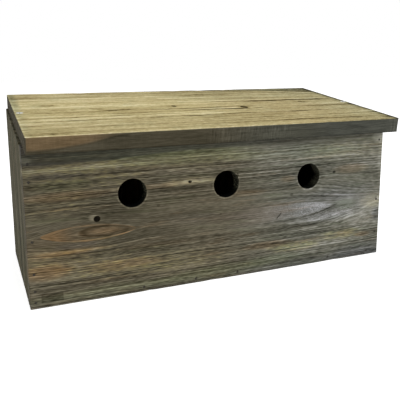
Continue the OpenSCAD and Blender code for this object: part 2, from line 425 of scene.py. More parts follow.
FRONT_BENT_LINES = [
    (1.4, 0.16, [(60, 148.5), (85, 150.5), (105, 154), (135, 155.5), (230, 156)]),
    (1.1, 0.12, [(78, 147), (95, 149), (112, 151), (140, 150.5)]),
    (1, 0.15, [(2, 46.5), (105, 46.6), (140, 48), (180, 50), (240, 51.5)]),
    (0.9, 0.12, [(68, 57.2), (110, 56.8), (165, 58.5), (235, 59.5)]),
    (1.1, 0.17, [(225, 143.6), (262, 145), (300, 146.8), (370, 147.4), (446, 146.4)]),
    (1.1, 0.14, [(222, 135.8), (305, 136), (335, 138.2), (412, 138)]),
    (1, 0.13, [(352, 107), (400, 106.8), (430, 105.5), (448, 103.5)]),
    (1.3, 0.15, [(242, 99), (300, 98.6), (350, 96), (380, 93), (430, 88.5), (449, 85.5)]),
    (1.8, 0.16, [(285, 59), (335, 57), (375, 57.5), (408, 61), (430, 68), (446, 74)]),
    (1.3, -0.26, [(292, 61.5), (325, 62.5), (345, 65), (365, 69.5), (380, 75)])]

# Patches where the grain is calm, where the wood is lighter or darker, and where its hue turns
FRONT_CALM = [(190, 84, 190, 42, 0.45), (405, 108, 60, 20, 0.4), (15, 82, 60, 26, 0.45)]
FRONT_TONE = [
    (434, 73, 24, 12, 0.26), (398, 74, 30, 13, 0.12), (365, 60, 70, 8, 0.16), (443, 158, 14, 7, 0.26),
    (448, 130, 6, 30, 0.14), (448, 77, 4, 4, 0.3), (447, 55, 9, 9, -0.2), (430, 10, 60, 16, -0.12),
    (352, 114, 12, 9, -0.12), (272, 72, 40, 11, 0.04), (3, 158.5, 8, 4, 0.16), (3, 148, 10, 4, 0.1),
    (72.6, 90.5, 10, 8, 0.05), (110, 100, 60, 16, -0.05), (170, 76, 60, 14, -0.02), (60, 37, 60, 9, 0.06),
    (110, 35, 40, 7, 0.05), (60, 146, 90, 9, 0.16), (180, 145, 90, 14, 0.17), (340, 144, 130, 16, 0.16),
    (170, 112, 40, 16, -0.06), (60, 9, 90, 9, 0.09), (200, 10, 80, 10, -0.05), (360, 9, 100, 10, -0.05),
    (380, 160, 60, 8, 0.05), (395, 84, 40, 8, 0.05), (60, 33, 90, 16, 0.04), (200, 32, 60, 14, 0.05),
    (320, 72, 60, 12, 0.04), (255, 150, 60, 14, 0.16), (412, 140, 60, 26, 0.12), (440, 110, 22, 16, -0.06),
    (315, 108, 30, 12, -0.07), (82, 99, 50, 22, -0.09), (126, 60, 60, 26, -0.1), (10, 52, 30, 13, 0.1),
    (152, 30, 60, 16, 0.1), (330, 49, 75, 16, -0.11), (428, 50, 44, 18, 0.16), (325, 9, 50, 10, -0.07),
    (395, 9, 50, 10, 0.08), (285, 132, 34, 12, 0.06), (105, 130, 34, 12, 0.05), (165, 70, 70, 14, 0.05),
    (385, 33, 44, 6, 0.06), (300, 25, 44, 6, -0.04), (440, 30, 22, 14, -0.1), (315, 73, 40, 12, -0.06),
    (69, 92.6, 6.4, 4.6, 0.24), (179.2, 122, 12, 5, 0.14), (184, 122.5, 40, 6, 0.09),
    (158, 119.5, 22, 3.5, 0.08)]
# Dark pits and knots; the first darkens the recess torn in the second hole's rim as painted shade
FRONT_PITS_AND_SHADE = [
    (239.2, 124.2, 1.8, 3, 0.26), (*LEFT_KNOT, 4.1, 3.8, 0.9), (*MIDDLE_KNOT, 2.8, 1.9, 0.42),
    (375.3, 117.4, 2.8, 1.9, 0.36), (313.5, 93.8, 2.8, 2, 0.16), (359, 88.8, 3.8, 1.4, 0.18),
    (141.5, 98, 2.4, 1.6, 0.12), (424, 29.5, 7, 1.2, 0.14), (217.5, 80, 2, 1.2, 0.1),
    (371, 121.5, 1.6, 0.9, 0.14)]
FRONT_BROWN = [
    (18, 38, 34, 11, 0.6), (100, 35, 55, 8, 0.35), (35, 57.3, 38, 4.2, 0.36), (40, 118, 60, 7, 0.4),
    (402, 120, 34, 8, 0.35), (308, 114.5, 14, 5, 0.35), (280, 33.5, 44, 6, 0.45), (424, 29.5, 16, 4, 0.5),
    (436, 73, 20, 10, 0.05), (255, 102, 30, 5, 0.25), (140, 53, 60, 4, 0.15), (25, 60, 60, 26, 0.2),
    (260, 74, 70, 16, 0.2), (395, 35, 20, 6, 0.2)]
FRONT_YELLOW = [
    (318, 27, 50, 9, 1.1), (388, 34, 44, 9, 1.1), (436, 73, 24, 12, 0.4), (60, 140, 90, 26, 0.8),
    (190, 146, 90, 12, 0.4), (400, 146, 90, 20, 0.4), (50, 50, 110, 18, 0.7), (130, 31, 130, 16, 0.8),
    (30, 106, 60, 16, 0.7), (182, 122, 44, 9, 0.5)]
# The first and fifth green patches tint the strip under the roof, which is partly painted shade
FRONT_GREEN = [
    (120, 159, 200, 9, 0.7), (330, 146, 120, 12, 0.35), (80, 7, 120, 9, 0.6), (210, 9, 90, 11, 0.6),
    (180, 150, 120, 10, 0.5), (290, 14, 60, 8, 0.5), (35, 130, 40, 8, 0.4), (320, 27, 40, 5, 0.3),
    (395, 74, 22, 9, 0.4)]
# The first blue patch tints the pale lens, partly painted sheen
FRONT_BLUE = [
    (355, 74, 95, 26, 0.5), (370, 60, 50, 8, 0.2), (262, 72, 60, 18, 0.4), (430, 8, 70, 14, 0.6),
    (50, 64, 30, 4, 0.7), (447, 55, 12, 12, 0.6), (35, 140, 40, 4, 0.5), (225, 74, 60, 14, 0.2),
    (180, 80, 40, 8, 0.2), (395, 92, 60, 14, 0.3)]
HEARTS = [(*LEFT_KNOT, 4, 3.8, 0.9), (*MIDDLE_KNOT, 2.6, 2, 0.8)]
HEART_STAIN = (17, 14, 9)

# Edges of the pale lens at the right, which is partly the wood's figure and partly painted sheen, and of the
# dark strip under the roof, which is partly stain and partly painted shade of the roof's overhang
PALE_LOW = [(225, 60.5), (292, 61.5), (325, 62.5), (345, 65), (365, 69.5), (380, 75), (450, 76)]
PALE_HIGH = [(225, 84), (300, 84), (340, 83), (362, 80), (380, 75.5), (450, 75)]
SHADE_AND_STAIN_EDGE = [(0, 152.4), (85, 152.6), (125, 155), (180, 157.2), (300, 158.2), (450, 160)]

# The cut walls of the entrance holes, from near-black painted shade and soaked stain to torn bare wood, which
# is partly painted light
HOLE_WALL_SHADE_AND_BARE = [(0.0, 9, 11, 11), (0.45, 24, 26, 21), (0.62, 42, 42, 34), (0.82, 120, 119, 98)]


def front_flow(g, u, v):
    """Height in the grain, which closes in on a knot at the right end and parts round the eye at the left."""
    away = v - EDGE_KNOT_V
    flow = away * (1.0 + g.smooth(u, 320, 450) * 1.5 * g.exp(away * away / -480.0))
    from_eye = flow + (EDGE_KNOT_V - EYE_V)
    along = (u - EYE_U) / 62.0
    swell = g.high(1.0 - along * along, 0.0) * 8.0
    parted = swell * g.exp(g.high(g.abs(from_eye) - swell, 0.0) / -14.0)
    return flow - g.math("SIGN", from_eye) * parted


def left_eye(g, u, v):
    """The lens of flat grain at the left: inside, rim, a dark ring in it, and the way out from its core."""
    along = (u - EYE_U) / 51.5
    half = g.math("POWER", g.high(1.0 - along * along, 0.0), 0.8) * 8.9 + 0.05
    across = g.abs(v - (EYE_V - along * 0.9)) / half
    inside = g.smooth(across, 1.04, 0.9)
    rim = g.smooth(g.abs(across - 0.93), 0.2, 0.04) * g.smooth(g.abs(along), 1.03, 0.94)
    core_u = (u - 81.0) / 26.5
    core_v = (v - 76.6) / 6.0
    core = core_u * core_u + core_v * core_v
    ring = g.smooth(g.abs(core - 0.85), 0.5, 0.05) * inside * g.smooth(u, 108, 72, 0.3, 1.0)
    return inside * g.smooth(g.abs(along), 1.0, 0.97), rim, ring, core


def pale_lens(g, u, v):
    """The lens of bright speckled wood at the right, above a dark line that climbs to its tip: partly the
    wood's own figure and partly painted sheen.
    """
    above = g.smooth(v - path(g, u, PALE_LOW), 0, 4)
    below = g.smooth(path(g, u, PALE_HIGH) - v, -1.5, 4.5)
    return above * below * g.smooth(u, 238, 345) * g.smooth(u, 384, 372)


def nearest_hole(g, u, v):
    """Distance from the axis of the nearest entrance hole."""
    nearest = None
    for x in HOLE_X:
        du = u - (x + BOX_W / 2)
        dv = v - HOLE_Z
        gap = g.math("SQRT", du * du + dv * dv)
        nearest = gap if nearest is None else g.low(nearest, gap)
    return nearest


def front_places(g, u, v, sway, hand):
    """Where the features of the front board lie, each as the share of it that is at this place."""
    at = SimpleNamespace()
    at.right = g.smooth(u, 190, 330)
    at.inside, at.rim, at.ring, at.core = left_eye(g, u, v + sway * 0.3)
    # The rim is strongest at its right tip and along its lower side
    at.rim = at.rim * g.smooth(u, 96, 110, 1.0, 1.7) * g.smooth(v, 81, 72, 0.45, 1.0)
    at.rim = at.rim * g.high(field(g, u, v, 14, 4, 5.5) * 3.0 + 1.0, 0.2)
    at.left_tip = at.inside * g.smooth(u, 50, 24)
    # The pale lens at the right: partly the wood's figure, partly painted sheen
    at.pale = pale_lens(g, u, v)
    # A darker, bluer strip with calmer grain under the roof: partly stain, partly painted shade of the roof's
    # overhang
    at.strip = g.smooth(hand - path(g, u, SHADE_AND_STAIN_EDGE), -0.6, 1.6)
    at.hole = nearest_hole(g, u, v)
    calm = at.strip * g.smooth(u, 300, 200) + g.smooth(v, 152, 158) * g.smooth(u, 200, 300)
    at.calm = calm * 0.5 + at.inside * 0.4 + at.pale * 0.3 + patches(g, u, v, FRONT_CALM) * (1.0 - at.inside)
    return at


def front_grain(g, u, v, w, flow, hand, at):
    """The fine grain, the lines that the photograph shows, and even growth lines at the upper right."""
    ragged = field(g, u, v, 40, 2, 8.1, 1.0, 0.7) * 2.2 + 1.0
    lines = streaks(g, u, hand, FRONT_LINES) + path_lines(g, u, hand, FRONT_BENT_LINES)
    lines = lines * g.high(ragged, 0.15)
    order = (flow + field(g, u, v, 260, 18, 12.1) * 9.0) / 5.2
    growth = g.smooth(g.abs(g.math("FRACT", order) - 0.5), 0.22, 0.04) * g.high(ragged, 0.2)
    upper = g.smooth(v, 96, 126)
    lines = lines + growth * upper * g.smooth(u, 180, 310, 0.04, 0.20)
    grained = (grain(g, u, flow, w, 3.0, 1.12) + lines * 0.75) * (1.0 - at.calm)
    return grained - upper * g.smooth(u, 180, 310, 0.0, 0.05)


def front_tone(g, u, v, at, grained):
    """How light the stain is, from 0 to 1, with painted shade in the strip under the roof and painted sheen
    in the pale lens.
    """
    tone = grained + 0.43 + at.right * 0.08
    # Darker in the strip under the roof: partly stain, partly painted shade
    tone = tone - at.strip * (g.smooth(u, 450, 400, 0.0, 0.10) - g.smooth(u, 80, 180, 0.0, 0.06))
    tone = tone + at.left_tip * 0.07 + at.rim * 0.12 - at.ring * 0.20 + g.smooth(at.core, 0.5, 0.1) * 0.03
    tone = tone - g.smooth(u, 0.9, 0.3) * 0.05
    # Lighter and speckled in the pale lens: partly the wood's figure, partly painted sheen
    speckled = at.pale + g.window(u, 330, 410, 20) * g.window(v, 56, 70, 5) * 0.9
    tone = tone + at.pale * (g.smooth(u, 300, 370) * 0.14 + 0.16)
    tone = tone + speckled * field(g, u, v, 2.6, 1.5, 5.0, 2.0, 0.9)
    tone = tone + patches(g, u, v, FRONT_TONE) - patches(g, u, v, FRONT_PITS_AND_SHADE, 0.35)
    # A worn ring round each hole, mostly under it
    worn = g.smooth(g.abs(at.hole - 16.9), 1.3, 0.2) * g.smooth(v, HOLE_Z + 2, HOLE_Z - 8, 0.06, 0.16)
    tone = tone + worn * g.high(field(g, u, v, 5, 5, 2.2) * 4.0 + 1.0, 0.0)
    # A short slanting scratch, and a dark oblong at the lower left
    scratch = g.smooth(g.abs((v - 68.8) - (u - 296.2)), 1.6, 0.5) * g.window(u, 293.2, 299.4, 0.8)
    oblong = g.window(u, 11.6, 34.2, 0.7) * g.window(v, 5.4, 14.6, 0.8)
    return tone - scratch * 0.34 - oblong * 0.19


def front_colour(g, u, v, at, tone):
    """The stain, which wanders between olive, brown and lilac grey, bluer where shade is painted under the
    roof and where sheen is painted on the pale lens.
    """
    colour = g.mix(at.right, g.ramp(tone, WARM), g.ramp(tone, COOL))
    hue = field(g, u, v, 90, 9, 21.0, 3.0, 0.7)
    brown = at.inside * 0.2 + at.left_tip * 0.6 + at.rim * 0.5 + at.ring * 0.3
    brown = brown + g.smooth(at.core, 0.7, 0.2) * 0.3 + g.smooth(hue, 0.03, 0.25) * 0.3
    brown = brown + patches(g, u, v, FRONT_BROWN)
    colour = g.tint(colour, brown, BROWNER)
    broken = g.high(field(g, u, v, 9, 2.4, 6.6, 1.0, 0.7) * 3.0 + 0.9, 0.1)
    yellow = patches(g, u, v, FRONT_YELLOW) * g.smooth(tone, 0.3, 0.7) * broken
    colour = g.tint(colour, yellow, YELLOWER)
    green = g.smooth(hue, -0.02, -0.25) * 0.5 + patches(g, u, v, FRONT_GREEN)
    colour = g.tint(colour, green, GREENER)
    # Bluer in the strip under the roof as painted shade, in the pale lens as painted sheen, and along the
    # base
    blue = at.strip * g.smooth(u, 330, 200) + at.pale * 0.2 + g.smooth(v, 12, 3) * 0.5
    colour = g.tint(colour, blue + patches(g, u, v, FRONT_BLUE), BLUER)
    hearts = patches(g, u, v, HEARTS, 0.2) * g.high(field(g, u, v, 2.2, 2.2, 4.1) * 3.0 + 1.0, 0.0)
    return g.mix(hearts, colour, srgb(*HEART_STAIN))


def hole_walls(g, u, v, w, at, colour):
    """Stain soaked into the cut walls, darkened near black as painted shade of the holes' insides. At the
    right of the first two holes torn fibres are bare, and that lighter side is partly painted light.
    """
    wall = g.smooth(at.hole, 17.6, 16.6) * g.smooth(w, 0.3, 1.2)
    torn = g.noise(u / 1.4, v / 1.4, w / 5.0, 2.0, 0.8)
    across = (g.math("FRACT", u / HOLE_STEP + 0.5) - 0.5) * HOLE_STEP
    clean = g.smooth(u, 300, 320)
    # Lighter at the right of each hole, above its bottom: partly torn bare fibres, partly painted light on
    # the lit side of the wall
    bare_and_lit = g.smooth(across + clean * 12.0, 2, 12) * g.smooth(v + clean * 5.0, HOLE_Z - 15, HOLE_Z - 6)
    shade = torn * bare_and_lit * (1.0 - clean * 0.8) + bare_and_lit * (clean * 0.04 + 0.6)
    return g.mix(wall, colour, g.ramp(shade, HOLE_WALL_SHADE_AND_BARE))


def front_material():
    material, g = new_material("front_wood")
    u, v, w = board_place(g, (FROM_LEFT, UPWARD, FROM_FRONT))
    sway = field(g, u, v, 120, 26, 0.4, 2.0) * 3.0
    hand = v + sway + field(g, u, v, 26, 5, 3.4) * 0.6
    flow = front_flow(g, u, v)
    at = front_places(g, u, v, sway, hand)
    tone = front_tone(g, u, v, at, front_grain(g, u, v, w, flow + sway, hand, at))
    colour = hole_walls(g, u, v, w, at, front_colour(g, u, v, at, tone))
    wood_shader(g, colour, tone * -0.06 + 0.66, relief(g, u, flow, w, 3.0))
    return material


# Boards with invented grain

# Wide and narrow bands that run along the grain
SIDE_BANDS = [
    (168, 0, -20, 200, 9, -0.14), (120, 0, -20, 200, 14, 0.1), (60, 0, -20, 200, 16, 0.07),
    (86, 0, -20, 200, 4, -0.16), (30, 0, -20, 200, 5, -0.13), (142, 0, -20, 200, 4, 0.1)]
INNER_WOOD = [(0.0, 70, 58, 40), (0.3, 112, 97, 70), (0.55, 140, 124, 92), (0.8, 166, 150, 114),
              (1.0, 190, 174, 138)]


def side_material(name, axes, seed, shade=0.0):
    material, g = new_material(name)
    u, v, w = board_place(g, axes)
    tone = 0.43 + shade + grain(g, u, v, w, seed, 0.9, 0.7)
    bands = streaks(g, u, v + field(g, u, v, 80, 30, seed) * 5.0, SIDE_BANDS)
    colour = g.mix(1.0, g.ramp(tone + bands, WARM), (0.98, 1.03, 1.0), "MULTIPLY")
    hue = g.noise(u / 90.0, v / 12.0, w / 30.0 + seed + 30.0, 3.0, 0.7)
    colour = g.tint(colour, g.smooth(hue, 0.0, 0.25) * 0.6, (1.3, 1.0, 0.75))
    colour = g.tint(colour, g.smooth(hue, 0.0, -0.25) * 0.6, (0.86, 1.0, 0.9))
    wood_shader(g, colour, tone * -0.06 + 0.68, relief(g, u, v, w, seed), 0.005)
    return material


def inner_material(name, axes, seed):
    material, g = new_material(name)
    u, v, w = board_place(g, axes)
    tone = 0.5 + grain(g, u, v, w, seed, 0.9, 0.5)
    wood_shader(g, g.ramp(tone, INNER_WOOD), tone * -0.05 + 0.72, relief(g, u, v, w, seed))
    return material


# Roof board: u runs from its left end, v up the slope from its front edge and w down from its top face

# Knots that the grain parts round, as (u, v, reach)
ROOF_PARTINGS = [(278, 98, 13), (40, 145, 12), (190, 118, 10), (378, 119, 12), (154, 133, 12)]
# (u, v, half length, half height, strength, how much paler the heart is)
ROOF_KNOTS = [(278.5, 98, 4.4, 6.2, 0.85, 0.6), (40, 145, 7.5, 6, 0.15, 0.5), (190, 118, 3, 4.6, 0.42, 0.2),
              (378, 119, 5.5, 5.5, 0.20, 0.5)]
ROOF_LINES = [
    (60.5, 0.012, 15, 445, 2.8, -0.11), (61.5, 0.01, 140, 215, 2.6, -0.12), (65.5, 0, 225, 275, 3, -0.13),
    (65, 0, 325, 350, 3, -0.12), (87.5, -0.01, 108, 185, 3, -0.08), (91, 0.02, 205, 274, 3.6, -0.15),
    (103.5, 0, 15, 130, 3, -0.12), (107, 0, 100, 134, 4, -0.12), (101.5, -0.005, 150, 262, 3.2, -0.13),
    (119, 0, 10, 98, 3, -0.11), (133, 0, 300, 430, 7, -0.13), (137, 0, 245, 290, 4, -0.13),
    (91, 0, 360, 444, 4, -0.13), (48, 0, 10, 220, 2.6, -0.05), (30, 0, 60, 330, 3, -0.07),
    (18, 0, 150, 420, 3, -0.07), (186, 0, 190, 300, 5, -0.09), (150, 0, 20, 130, 3.5, -0.06),
    (112, 0, 300, 380, 3, -0.08), (160, 0, 180, 330, 4, -0.05), (78, 0, 230, 330, 2.4, -0.07),
    (40, 0, 250, 440, 3, -0.06), (10, 0, 10, 200, 2, -0.06), (97.5, 0, 150, 270, 3, 0.1),
    (72, 0, 20, 240, 3.4, 0.07), (170, 0, 30, 120, 4, 0.06), (111, 0, 20, 120, 2.4, 0.08),
    (125, 0, 60, 240, 4, 0.06), (145, 0, 200, 300, 4, 0.06), (84, 0, 20, 110, 3, 0.06),
    (54, 0, 60, 300, 2.6, 0.06), (36, 0, 30, 240, 2.6, 0.06), (202, 0, 20, 160, 6, 0.05)]
# The clearest lines, which don't break up as the others do
ROOF_MAIN_LINES = [
    (91.5, 0.015, 196, 276, 2.2, -0.2), (107, 0, 96, 150, 2.4, -0.08), (61, 0.012, 180, 250, 2.2, -0.12),
    (133, -0.01, 300, 420, 3, -0.12), (62, 0, 325, 352, 2.4, -0.1)]
ROOF_TONE = [
    (277, 98, 12, 11, -0.3), (262, 91.5, 16, 3, -0.6), (296, 92, 12, 2.6, -0.3), (40.5, 145, 16, 7, -0.26),
    (154, 133, 13, 6, -0.06), (190, 118, 12, 5, -0.2), (96, 114, 13, 6, -0.2), (378, 119, 14, 6, -0.22),
    (178, 170, 12, 6, -0.2), (5, 152, 5, 7, -0.16), (8, 80, 6, 8, -0.2), (232, 183, 9, 8, -0.12),
    (385, 90, 12, 7, -0.1), (310, 135, 14, 8, -0.09), (110, 206, 300, 24, -0.11), (262, 206, 90, 26, -0.16),
    (15, 206, 40, 26, -0.14), (120, 92, 160, 16, -0.1), (262, 54, 80, 22, -0.18), (19, 18, 40, 24, -0.16),
    (60, 18, 60, 20, -0.08), (225, 18, 60, 20, -0.1), (200, 92, 50, 14, -0.06), (430, 206, 60, 20, -0.08),
    (130, 150, 190, 38, 0.14), (230, 140, 60, 30, 0.06), (316, 20, 50, 16, 0.07), (325, 162, 70, 24, 0.05),
    (281, 100.5, 2.6, 3, 0.35)]
ROOF_GREY = [(300, 175, 150, 45, 0.3)]
ROOF_BACK_EDGE = [(0, 226), (150, 224), (240, 218), (330, 206), (400, 198), (446, 194)]
ROOF_WOOD = [(0.0, 62, 53, 32), (0.2, 114, 101, 65), (0.4, 151, 137, 95), (0.6, 178, 164, 119),
             (0.8, 200, 187, 142), (1.0, 222, 211, 170)]
# On the front edge, warm wood above this curve
WARM_EDGE = [(0, 15), (24, 14.5), (46, 12), (66, 9), (85, 4.5), (100, 2.5), (118, 0), (450, 0)]


def roof_tone(g, u, v, sway, mottle):
    """How light the top is, with the fine grain and the lines that the photograph shows."""
    flow = part_round(g, u, v, ROOF_PARTINGS) + sway
    ragged = field(g, u, v, 20, 5, 8.1, 2.0, 0.7) * 2.6 + 1.0
    lines = streaks(g, u, flow, ROOF_LINES) * g.high(ragged, 0.15) + streaks(g, u, flow, ROOF_MAIN_LINES)
    thin = field(g, u, flow, 350, 7, 1.7, 1.0, 0.8) * 0.6 + field(g, u, flow, 240, 2, 3.7) * 0.65
    thin = thin * (field(g, u, v, 50, 12, 5.7) * 3.0 + 1.0)
    fur = field(g, u, v, 5, 2.5, 9.4, 1.0, 0.8)
    wide = field(g, u, v, 180, 26, 6.1)
    tone = 0.66 - g.smooth(u, 180, 380) * 0.12 + g.smooth(u, 150, 60) * 0.05
    tone = tone + lines * 2.7 + thin * 1.4 + mottle * 0.5 + fur * 0.65 + wide * 0.35
    tone = tone + patches(g, u, v, ROOF_TONE)
    for row in ROOF_KNOTS:
        tone = tone - knot(g, u, v, *row)
    return tone


def roof_places(g, u, v, sway, mottle):
    """The greyed margins of the top: along the back, and at the two ends."""
    at = SimpleNamespace()
    at.rim = g.smooth(v + sway + mottle * 16.0 - path(g, u, ROOF_BACK_EDGE, height=240.0), -3, 8)
    at.right = g.smooth(u + mottle * 16.0 + sway, 428, 446) * 0.8 + g.smooth(u, 438, 444) * 0.9
    at.left = g.smooth(u + mottle * 14.0, 12, 3) * g.smooth(v, 60, 150, 0.3, 1.0)
    at.back = g.smooth(v, 220.5, 223) * g.smooth(u, 40, 160, 0.35, 1.0)
    return at


def roof_top(g, u, v, tone, at):
    """The colour of the top face."""
    tone = tone - at.rim * 0.32 - at.right * 0.30 - at.left * 0.16 - at.back * 0.45
    # Lighter along the front arris and at the left end: partly worn bare wood, partly painted highlight where
    # the edge catches light
    front_arris_wear_and_highlight = g.smooth(v, 3, 1.2) * g.smooth(u, 420, 260, 0.05, 0.20)
    tone = tone + front_arris_wear_and_highlight + g.smooth(u, 3, 1) * 0.10
    hue = field(g, u, v, 40, 22, 31.0, 3.0, 0.7)
    pink = g.smooth(hue, 0.0, 0.25) * 0.5 + g.smooth(u, 180, 380) * 0.35
    colour = g.tint(g.ramp(tone, ROOF_WOOD), pink, (1.02, 0.98, 1.02))
    grey = (at.rim + at.right + at.left + at.back) * 0.8 + g.smooth(hue, 0.0, -0.25) * 0.4
    grey = grey + patches(g, u, v, ROOF_GREY) + g.smooth(u, 320, 440) * 0.2
    colour = g.tint(colour, grey, (0.84, 0.96, 1.10))
    colour = g.tint(colour, g.smooth(u, 300, 200) * g.window(v, 70, 180, 25), (1.01, 1.0, 0.955))
    return tone, g.tint(colour, g.smooth(u, 340, 430), (0.965, 1.0, 1.04))


def roof_edge(g, u, v, w):
    """The colour of the edges: the front warm, then dark, then grey with saw marks, the others plain."""
    over = path(g, u, WARM_EDGE) - w
    warm = g.smooth(over, -1.5, 3) * g.smooth(u, 110, 50)
    saw = g.noise(u / 2.4, w / 16.0, 1.0, 2.0, 0.8)
    tone = 0.32 - g.smooth(u, 150, 330) * 0.075 + field(g, u, v, 50, 3.5, 2.0, 4.0, 0.9, w) * 0.6
    tone = tone + warm * 0.13 - g.smooth(g.abs(over), 1.6, 0.2) * g.smooth(u, 125, 105) * 0.07
    marked = g.window(u, 188, 292, 8) * 0.42 + g.smooth(u, 240, 20) * 0.12 + g.smooth(u, 424, 440) * 0.5
    tone = tone + saw * marked + g.smooth(u, 190, 330) * 0.04 + g.smooth(u, 420, 440) * 0.06
    tone = tone - g.smooth(w, 16, 17.6) * 0.10 - g.window(u, 72, 190, 12) * 0.05
    # Lighter along the top arris of the front edge: partly worn bare wood, partly painted highlight
    tone = tone + g.smooth(w, 1.6, 0.7) * g.smooth(u, 360, 250) * 0.35
    colour = g.mix(g.smooth(u, 170, 280), g.ramp(tone, WARM), g.ramp(tone, COOL))
    colour = g.tint(colour, warm, (1.26, 1.01, 0.80))
    colour = g.tint(colour, g.smooth(u, 300, 360) * 0.6, (0.94, 1.0, 1.12))
    back_tone = 0.27 + grain(g, u, w, v, 7.0, 0.9, 0.4)
    colour = g.mix(g.smooth(v, ROOF_L - 3.0, ROOF_L - 1.5), colour, g.ramp(back_tone, WARM))
    end_tone = 0.30 + g.noise(u / 3.0, v / 9.0, w / 3.0, 3.0, 0.8) * 0.8
    return g.mix(g.smooth(u, 1.4, 0.5), colour, g.ramp(end_tone, WARM))


def roof_material():
    material, g = new_material("roof_wood")
    u, v, w = board_place(g, (ROOF_FROM_LEFT, ROOF_UPWARD, ROOF_DOWNWARD))
    sway = field(g, u, v, 60, 30, 2.2, 2.0) * 5.0
    mottle = field(g, u, v, 15, 5, 4.4, 3.0, 0.8)
    at = roof_places(g, u, v, sway, mottle)
    tone, top = roof_top(g, u, v, roof_tone(g, u, v, sway, mottle), at)
    colour = g.mix(g.smooth(w, 1.1, 0.4), roof_edge(g, u, v, w), top)
    wood_shader(g, colour, tone * -0.08 + 0.68, relief(g, u, v, w, 11.0), 0.005)
    return material


# Nails and screws

def steel_material(name, dark, light, rough, metallic, dirt_and_shade=None):
    """Steel between two colours. Given dirt, that is its colour below the roof's top face: dirt and painted
    shade in the screw's recess and countersink.
    """
    material, g = new_material(name)
    place = g.value("ShaderNodeTexCoord", output="Object")
    inputs = {"Vector": place, "Scale": 0.9 / MM, "Detail": 3.0, "Roughness": 0.6}
    grit = g.value("ShaderNodeTexNoise", inputs)
    colour = g.ramp(grit, [(0.3, *dark), (0.7, *light)])
    if dirt_and_shade is not None:
        deep = board_place(g, [ROOF_DOWNWARD])[0]
        # Darker below the roof's top face: dirt and painted shade in the recess
        colour = g.mix(g.smooth(deep, 0.25, 0.8), colour, srgb(*dirt_and_shade))
    bump = g.value("ShaderNodeBump", {"Strength": 0.2, "Distance": 0.05 * MM, "Height": grit})
    g.principled(Base_Color=colour, Roughness=grit * 0.2 + rough, Metallic=metallic, Normal=bump)
    return material


# Meshes of the boards

# How far the arrises are rounded, and from what angle on an edge is shaded sharp
BLUNT = 0.6
BLUNT_ROOF = 0.7
SHARP_FROM = math.radians(38)
# Length of a push by 1 along each of two axes
DIAGONAL = 1.414


def lines_along(size, edge, step):
    """Grid lines along one side of a board: close together at the rounded edges, then about step apart."""
    near = np.array([0.0, 0.35, 0.7, 1.0]) * edge
    count = max(1, round((size - 2 * edge) / step))
    inner = np.linspace(edge, size - edge, count + 1)[1:-1]
    return np.concatenate([near, inner, size - near[::-1]])


def box_surface(us, vs, ws):
    """Points and quads of a box's surface, cut by grid lines along each side."""
    shape = (len(us), len(vs), len(ws))
    i, j, k = np.indices(shape)
    on = (i == 0) | (i == shape[0] - 1) | (j == 0) | (j == shape[1] - 1) | (k == 0) | (k == shape[2] - 1)
    index = np.full(shape, -1)
    index[on] = np.arange(on.sum())
    points = np.stack([us[i[on]], vs[j[on]], ws[k[on]]], -1)
    quads = []
    for axis in range(3):
        for end in (0, -1):
            face = np.moveaxis(index, axis, 0)[end]
            ring = np.stack([face[:-1, :-1], face[1:, :-1], face[1:, 1:], face[:-1, 1:]], -1).reshape(-1, 4)
            quads.append(ring[:, ::-1] if (end == 0) != (axis == 1) else ring)
    return points, np.concatenate(quads)


def rounded(points, size, edge, seed):
    """The points of a box with its arrises rounded by an uneven amount and its faces a little uneven."""
    wobble = np.array([noise.noise(Vector(p * 0.05) + Vector((seed, 0, 0))) for p in points])
    radius = (edge * (0.62 + 0.45 * wobble))[:, None]
    core = np.clip(points, radius, size - radius)
    out = points - core
    length = np.linalg.norm(out, axis=1, keepdims=True)
    points = core + out / np.maximum(length, 1e-9) * np.minimum(length, radius)
    inward = np.sign(size / 2 - points) * (np.abs(out) > 1e-6)
    inward = inward / np.maximum(np.linalg.norm(inward, axis=1, keepdims=True), 1)
    rough = np.array([noise.fractal(Vector(p * 0.06) + Vector((0, seed, 0)), 1.0, 2.0, 3) for p in points])
    return points + inward * (0.05 + 0.10 * np.clip(rough + 0.5, 0, 1))[:, None]


def dented(points, size, seed, dents):
    """The same points with small dents pressed into the arrises that run along the board."""
    long_axis = int(np.argmax(size))
    rng = np.random.default_rng(seed)
    for _ in range(dents):
        spot = size * rng.integers(0, 2, 3)
        spot[long_axis] = rng.uniform(0.03, 0.97) * size[long_axis]
        reach = rng.uniform(2.0, 5.0)
        depth = rng.uniform(0.2, 0.6)
        away = points - spot
        away[:, long_axis] *= 0.5
        near = np.exp(-(np.linalg.norm(away, axis=1) / reach) ** 2)
        push = np.sign(size / 2 - spot)
        push[long_axis] = 0
        points = points + near[:, None] * depth * push / DIAGONAL
    return points


def worn_box(size, steps, edge, seed, dents=14):
    """Points and quads of a sawn board, from 0 to its size."""
    size = np.array(size, float)
    points, quads = box_surface(*(lines_along(side, edge, step) for side, step in zip(size, steps)))
    return dented(rounded(points, size, edge, seed), size, seed, dents), quads


def mesh_object(name, points, faces):
    mesh = bpy.data.meshes.new(name)
    mesh.from_pydata((np.asarray(points) * MM).tolist(), [], [list(face) for face in faces])
    mesh.update()
    return add_object(name, mesh)


def apply_boolean(target, other, operation):
    """Cuts the target by the other object or joins them, and removes the other."""
    change = target.modifiers.new("cut", "BOOLEAN")
    change.object = other
    change.operation = operation
    change.solver = "EXACT"
    change.use_self = operation == "UNION"
    bpy.context.view_layer.update()
    evaluated = target.evaluated_get(bpy.context.evaluated_depsgraph_get())
    mesh = bpy.data.meshes.new_from_object(evaluated)
    target.modifiers.clear()
    old = target.data
    target.data = mesh
    mesh.name = target.name
    bpy.data.meshes.remove(old)
    bpy.data.objects.remove(other)


